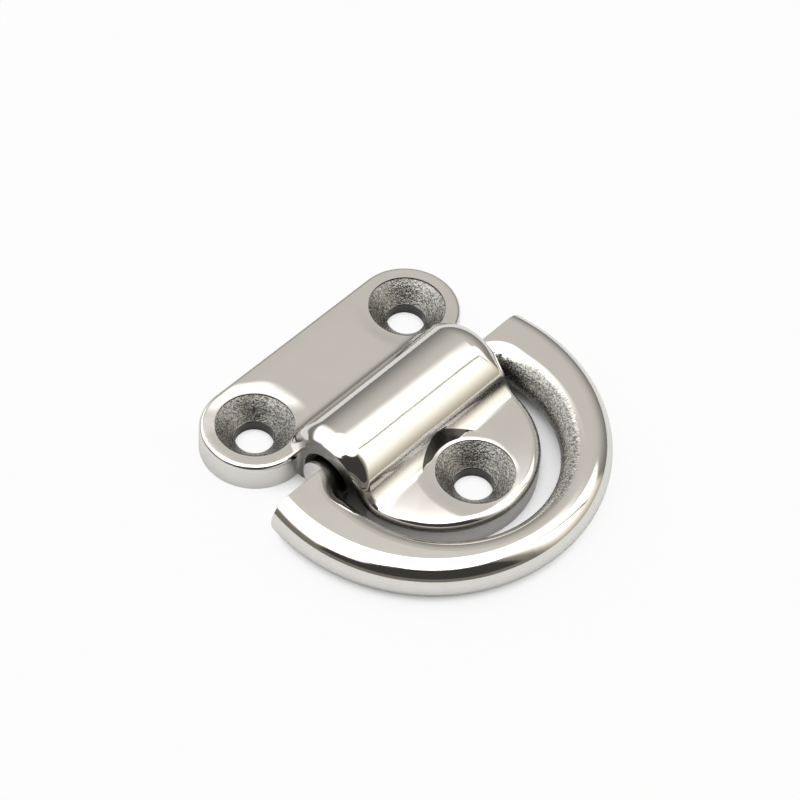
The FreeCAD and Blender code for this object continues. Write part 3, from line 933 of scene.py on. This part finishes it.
# The room that the steel mirrors, in degrees: bearings from the camera towards the picture's right,
# heights over the horizon, and soft edges as where they start and end
FAR_SIDE = (95.0, 145.0)
NEAR_WALL_RISE = (5.0, 40.0)
FAR_WALL_RISE = (-8.0, 58.0)
LEAN_RISE = (30.0, 46.0)
LEAN = 24.0
CORNER = (-52.0, -36.0)
CORNER_DROP = 9.0
DIM_LEFT = (-53.0, -47.0)
DIM_RIGHT = (54.5, 59.5)
DIM_FOOT = (15.0, 19.0)
DIM_TOP = (59.5, 63.5)
RIGHT_NEAR = (62.0, 82.0)
RIGHT_FAR = (135.0, 141.0)
RIGHT_FOOT = (-20.0, -8.0)
RIGHT_WARMTH = (-6.0, 42.0)
RIGHT_WIDENING = (20.0, 45.0)
RIGHT_NARROWER = 22.0
LEFT_FAR = (-156.0, -138.0)
LEFT_NEAR = (-54.0, -50.0)
LEFT_FOOT = (24.0, 32.0)
LEFT_LIFT = (-105.0, -82.0)
LEFT_LIFTED = 15.0
OVERHEAD_NEAR = (60.5, 63.5)
OVERHEAD_FAR = (51.5, 66.0)
SEAM_BEARINGS = (104.2, 107.4, 0.3)
SEAM_HEIGHTS = (25.0, 85.0, 2.0)
SEAM_SHARE = 0.85

# The room's colours
NEAR_WALL_LOW = (0.19, 0.175, 0.145, 1.0)
NEAR_WALL_HIGH = (0.26, 0.24, 0.21, 1.0)
FAR_WALL_LOW = (0.19, 0.188, 0.18, 1.0)
FAR_WALL_HIGH = (0.66, 0.63, 0.585, 1.0)
DIM_COLOUR = (0.05, 0.048, 0.046, 1.0)
RIGHT_COLOUR_LOW = (0.42, 0.37, 0.27, 1.0)
RIGHT_COLOUR_HIGH = (1.5, 1.46, 1.34, 1.0)
LEFT_COLOUR = (1.4, 1.39, 1.36, 1.0)
OVERHEAD_COLOUR = (2.4, 2.36, 2.28, 1.0)
SEAM_COLOUR = (0.1, 0.1, 0.1, 1.0)

# The floor's lengths in metres, its paint and the shares of its glow
FLOOR_DROP = 0.00003
FLOOR_ROUGHNESS = 0.9
SKY_SAMPLES = 8
SKY_DISTANCE = 0.012
SKY_RANGE = (0.12, 0.45)
OPEN_FLOOR_GLOW = 0.9
MIRRORED_GLOW = 0.04

# The camera's sensor in millimetres, and how near it sees in metres
SENSOR_WIDTH = 36.0
NEAREST_SEEN = 0.01


def floor_paint(settings):
    """Pale paint that glows to the camera where it lies open, and hardly glows in the steel."""
    material = bpy.data.materials.new("floor_paint")
    material.use_nodes = True
    tree = material.node_tree
    shader = tree.nodes["Principled BSDF"]
    shader.inputs["Base Color"].default_value = opaque(settings.floor_colour)
    shader.inputs["Roughness"].default_value = FLOOR_ROUGHNESS
    shader.inputs["Specular IOR Level"].default_value = 0.0
    seen = node(tree, "ShaderNodeLightPath")
    mirrored = calc(tree, "MULTIPLY", seen.outputs["Is Glossy Ray"], MIRRORED_GLOW)
    open_sky = node(tree, "ShaderNodeAmbientOcclusion", samples=SKY_SAMPLES)
    open_sky.inputs["Distance"].default_value = SKY_DISTANCE
    open_floor = ramp(tree, open_sky.outputs["AO"], *SKY_RANGE, 0.0, OPEN_FLOOR_GLOW)
    share = calc(tree, "MULTIPLY_ADD", seen.outputs["Is Camera Ray"], open_floor, mirrored)
    glow = node(tree, "ShaderNodeEmission")
    glow.inputs["Strength"].default_value = 1.0
    mixed = node(tree, "ShaderNodeMixShader")
    put(tree, mixed.inputs[0], share)
    put(tree, mixed.inputs[1], shader.outputs[0])
    put(tree, mixed.inputs[2], glow.outputs[0])
    put(tree, tree.nodes["Material Output"].inputs["Surface"], mixed.outputs[0])
    return material


def make_floor(settings):
    """A plain pale floor just under the fitting."""
    bpy.ops.object.select_all(action="DESELECT")
    bpy.ops.mesh.primitive_plane_add(size=settings.floor_size, location=(0.0, 0.0, -FLOOR_DROP))
    floor = bpy.context.object
    floor.name = "floor"
    bpy.ops.object.transform_apply(location=True, rotation=True, scale=True)
    floor.data.materials.append(floor_paint(settings))


def directions(tree, azimuth):
    """The bearing from the camera and the height of every direction, in degrees."""
    coordinates = node(tree, "ShaderNodeTexCoord")
    turned = node(tree, "ShaderNodeVectorRotate", rotation_type="Z_AXIS")
    put(tree, turned.inputs["Vector"], coordinates.outputs["Generated"])
    put(tree, turned.inputs["Angle"], -azimuth)
    parts = node(tree, "ShaderNodeSeparateXYZ")
    put(tree, parts.inputs[0], turned.outputs[0])
    towards = calc(tree, "MULTIPLY", parts.outputs["Y"], -1.0)
    bearing = calc(tree, "DEGREES", calc(tree, "ARCTAN2", parts.outputs["X"], towards))
    height = calc(tree, "DEGREES", calc(tree, "ARCSINE", parts.outputs["Z"]))
    return bearing, height


def leaning(tree, bearing, height):
    """The bearing less a lean that grows with height, for edges that lean to the right."""
    return calc(tree, "SUBTRACT", bearing, ramp(tree, height, *LEAN_RISE, 0.0, LEAN))


def cornered(tree, height, lean):
    """The height, raised towards the left so that the dim place's upper left corner is rounded off."""
    return calc(tree, "ADD", height, ramp(tree, lean, *CORNER, CORNER_DROP, 0.0))


def room_walls(tree, height, far_side):
    """The room's walls, which get paler with height, most of all on the far side."""
    near_wall = mix_colour(tree, above(tree, height, NEAR_WALL_RISE), NEAR_WALL_LOW, NEAR_WALL_HIGH)
    far_wall = mix_colour(tree, above(tree, height, FAR_WALL_RISE), FAR_WALL_LOW, FAR_WALL_HIGH)
    return mix_colour(tree, far_side, near_wall, far_wall)


def dim_place(tree, bearing, height, lean, topped):
    """The dim place behind the camera."""
    across = product(tree, above(tree, lean, DIM_LEFT), below(tree, bearing, DIM_RIGHT))
    return product(tree, across, above(tree, height, DIM_FOOT), below(tree, topped, DIM_TOP))


def right_light(tree, bearing, height):
    """The light at the right side, which gets wider with height."""
    far_end = calc(tree, "ADD", bearing, ramp(tree, height, *RIGHT_WIDENING, RIGHT_NARROWER, 0.0))
    beside = product(tree, above(tree, bearing, RIGHT_NEAR), below(tree, far_end, RIGHT_FAR))
    return product(tree, beside, above(tree, height, RIGHT_FOOT))


def left_light(tree, bearing, height, lean):
    """The light at the left side, whose foot is lower at its far end."""
    lifted = calc(tree, "ADD", height, ramp(tree, bearing, *LEFT_LIFT, LEFT_LIFTED, 0.0))
    broad = product(tree, above(tree, bearing, LEFT_FAR), below(tree, lean, LEFT_NEAR))
    return product(tree, broad, above(tree, lifted, LEFT_FOOT))


def overhead_light(tree, height, topped, far_side):
    """The light overhead, with a sharp edge on the camera's side and a soft one on the far side."""
    return mix_number(tree, far_side, above(tree, topped, OVERHEAD_NEAR), above(tree, height, OVERHEAD_FAR))


def seam_line(tree, bearing, height):
    """The dark upright seam in the lights on the right."""
    return product(tree, band(tree, bearing, *SEAM_BEARINGS), band(tree, height, *SEAM_HEIGHTS), SEAM_SHARE)


def make_light(scene, settings):
    """A warm grey room with a light overhead, one at each side and a dim place behind the camera."""
    world = bpy.data.worlds.new("studio_light")
    scene.world = world
    world.use_nodes = True
    tree = world.node_tree
    bearing, height = directions(tree, settings.azimuth)
    far_side = above(tree, calc(tree, "ABSOLUTE", bearing), FAR_SIDE)
    lean = leaning(tree, bearing, height)
    topped = cornered(tree, height, lean)
    warm_to_white = mix_colour(tree, above(tree, height, RIGHT_WARMTH), RIGHT_COLOUR_LOW, RIGHT_COLOUR_HIGH)
    room = room_walls(tree, height, far_side)
    layers = (
        (dim_place(tree, bearing, height, lean, topped), DIM_COLOUR),
        (right_light(tree, bearing, height), warm_to_white),
        (left_light(tree, bearing, height, lean), LEFT_COLOUR),
        (overhead_light(tree, height, topped, far_side), OVERHEAD_COLOUR),
        (seam_line(tree, bearing, height), SEAM_COLOUR),
    )
    for share, colour in layers:
        room = mix_colour(tree, share, room, colour)
    put(tree, tree.nodes["Background"].inputs["Color"], room)


def make_camera(scene, settings):
    """A camera at the photograph's angle."""
    bpy.ops.object.select_all(action="DESELECT")
    bpy.ops.object.camera_add(location=settings.position)
    camera = bpy.context.object
    camera.name = "camera"
    turn = (Matrix.Rotation(settings.azimuth, 3, "Z")
            @ Matrix.Rotation(math.pi / 2 - settings.elevation, 3, "X")
            @ Matrix.Rotation(settings.roll, 3, "Z"))
    camera.rotation_euler = turn.to_euler()
    camera.data.sensor_width = SENSOR_WIDTH
    camera.data.lens = settings.lens
    camera.data.clip_start = NEAREST_SEEN
    scene.camera = camera
    scene.view_settings.view_transform = "Standard"


class DECKRING_OT_studio(bpy.types.Operator):
    """Make the floor, the soft light and the camera"""

    bl_idname = "deckring.studio"
    bl_label = "Make the studio"

    def execute(self, context):
        settings = context.scene.deckring_studio
        make_floor(settings)
        make_light(context.scene, settings)
        make_camera(context.scene, settings)
        return {"FINISHED"}


# Panel and registration


class DECKRING_PT_panel(bpy.types.Panel):
    """Lists the steps and their settings in the sidebar"""

    bl_idname = "DECKRING_PT_panel"
    bl_label = "Deck ring"
    bl_space_type = "VIEW_3D"
    bl_region_type = "UI"
    bl_category = "Deck ring"

    def draw(self, context):
        for operator in OPERATORS:
            self.layout.operator(operator.bl_idname)
        for name, (group, title) in GROUPS.items():
            box = self.layout.box()
            box.label(text=title)
            for prop in group.__annotations__:
                box.prop(getattr(context.scene, name), prop)


OPERATORS = (DECKRING_OT_base, DECKRING_OT_ring, DECKRING_OT_studio)
GROUPS = {
    "deckring_steel": (SteelFinish, "Steel"),
    "deckring_base": (BaseShape, "Base"),
    "deckring_ring": (RingShape, "Ring"),
    "deckring_studio": (Studio, "Studio"),
}


def register():
    """Registers the settings, the steps and the panel."""
    for name, (group, title) in GROUPS.items():
        bpy.utils.register_class(group)
        setattr(bpy.types.Scene, name, PointerProperty(type=group, name=title))
    for operator in OPERATORS:
        bpy.utils.register_class(operator)
    bpy.utils.register_class(DECKRING_PT_panel)


def unregister():
    """Takes the panel, the steps and the settings away again."""
    bpy.utils.unregister_class(DECKRING_PT_panel)
    for operator in reversed(OPERATORS):
        bpy.utils.unregister_class(operator)
    for name, (group, _) in reversed(GROUPS.items()):
        delattr(bpy.types.Scene, name)
        bpy.utils.unregister_class(group)


def main():
    """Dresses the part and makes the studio."""
    register()
    bpy.ops.deckring.base()
    bpy.ops.deckring.ring()
    bpy.ops.deckring.studio()


if __name__ == "__main__":
    main()
